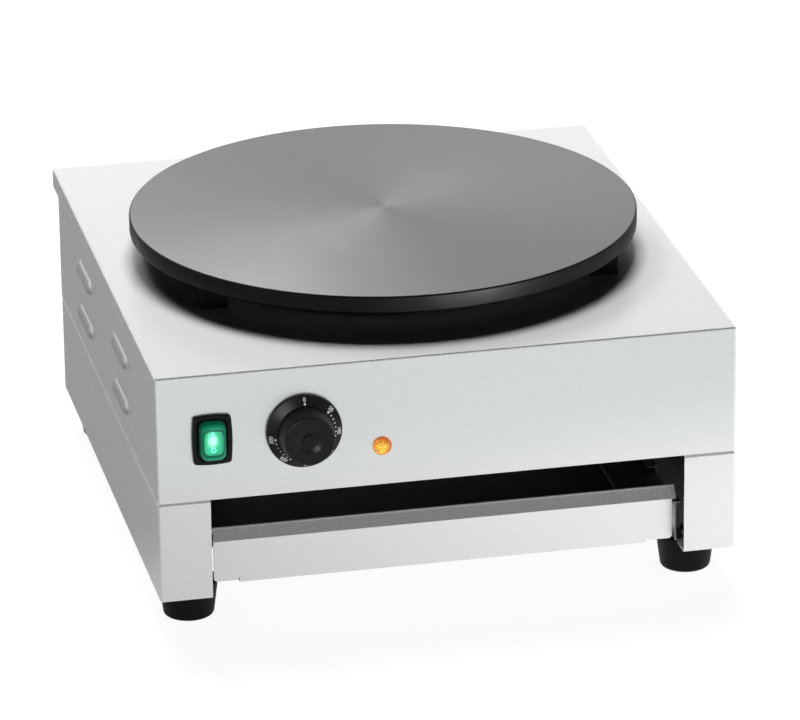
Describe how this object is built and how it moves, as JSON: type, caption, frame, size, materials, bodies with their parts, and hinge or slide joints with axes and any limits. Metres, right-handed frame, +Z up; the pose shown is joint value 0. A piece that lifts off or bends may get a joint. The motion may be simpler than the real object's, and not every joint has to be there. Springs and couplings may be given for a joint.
{
  "type": "electric crepe maker",
  "caption": "Countertop electric crepe maker: round cast-iron hot plate on a folded steel casing, with a rocker switch, thermostat knob and pilot lamp in front, and a pull-out drawer below.",
  "frame": {"origin": "on the ground, in the middle of the whole outline, from the knob's face to the rear edge of the top and between the side louvers", "axes": "+Z up; the front with its controls and drawer faces -Y; +X is to the right seen from the front"},
  "size_m": [0.457, 0.51, 0.245],
  "materials": {
    "casing_steel": "fine brushed stainless sheet, satin",
    "rear_steel": "plain stainless sheet",
    "inner_steel": "galvanised sheet, dull",
    "rail_steel": "plain steel sheet, dull",
    "tray_steel": "stainless sheet, dull",
    "pan_steel": "black heat-resistant paint",
    "cast_iron": "ground and seasoned cast iron",
    "element_sheath": "dark annealed heater sheath",
    "contact_metal": "plain brass",
    "ceramic": "glazed ceramic",
    "mineral_wool": "pressed mineral wool",
    "zinc_steel": "zinc plated",
    "rubber": "black rubber",
    "dark_phenolic": "dark phenolic moulding",
    "copper": "drawn copper",
    "black_knob": "black satin moulding",
    "black_plastic": "black moulding",
    "amber_lens": "lit amber faceted lens",
    "green_cover": "clear green splash cover",
    "green_rocker": "lit green rocker",
    "white_plastic": "white terminal moulding",
    "wire_sleeve": "silicone sleeved wire"
  },
  "bodies": {
    "housing": {"base_rear_panel": "rear_steel", "base_side_left": "casing_steel", "base_side_right": "casing_steel", "bracket_rivets": "zinc_steel", "casing_bolts": "zinc_steel", "casing_nuts": "zinc_steel", "centre_nut": "zinc_steel", "centre_stud": "zinc_steel", "drawer_rail_left": "rail_steel", "drawer_rail_right": "rail_steel", "earth_nut": "contact_metal", "earth_stud": "contact_metal", "element_pins": "contact_metal", "foot_front_left": "rubber", "foot_front_right": "rubber", "foot_nuts": "zinc_steel", "foot_rear_left": "rubber", "foot_rear_right": "rubber", "foot_screws": "zinc_steel", "gland_body": "black_plastic", "gland_cap": "black_plastic", "gland_locknut": "black_plastic", "heater_pan": "pan_steel", "heating_element": "element_sheath", "hot_plate": "cast_iron", "insulation_disc": "mineral_wool", "lamp_body": "black_plastic", "lamp_lens": "amber_lens", "lamp_nut": "black_plastic", "leg_bushes": "ceramic", "limiter_body": "dark_phenolic", "limiter_cap": "black_plastic", "mid_plate": "inner_steel", "plate_bracket_front_left": "pan_steel", "plate_bracket_front_right": "pan_steel", "plate_bracket_rear_left": "pan_steel", "plate_bracket_rear_right": "pan_steel", "plate_screws": "zinc_steel", "rear_panel": "rear_steel", "rear_screws": "zinc_steel", "switch_cover": "green_cover", "switch_housing": "black_plastic", "switch_tabs": "contact_metal", "terminal_block": "white_plastic", "terminal_screws": "zinc_steel", "thermostat_body": "dark_phenolic", "thermostat_bulb": "copper", "thermostat_screws": "zinc_steel", "thermostat_tabs": "contact_metal", "upper_casing": "casing_steel", "wiring": "wire_sleeve"},
    "drawer": {"drawer_tray": "tray_steel", "drawer_front": "casing_steel"},
    "knob": {"knob": "black_knob", "knob_cap": "black_knob", "thermostat_spindle": "zinc_steel"},
    "rocker": {"rocker": "green_rocker"}
  },
  "joints": [
    {"name": "drawer_slide", "type": "slide", "parent": "housing", "child": "drawer", "axis": [0, -1, 0], "range_m": [0, 0.3]},
    {"name": "knob_turn", "type": "hinge", "parent": "housing", "child": "knob", "pos_m": [-0.112, -0.23, 0.159], "axis": [0, -1, 0], "range_deg": [0, 261]},
    {"name": "rocker_tip", "type": "hinge", "parent": "housing", "child": "rocker", "pos_m": [-0.1824, -0.229, 0.1585], "axis": [1, 0, 0], "range_deg": [0, 14]}
  ]
}
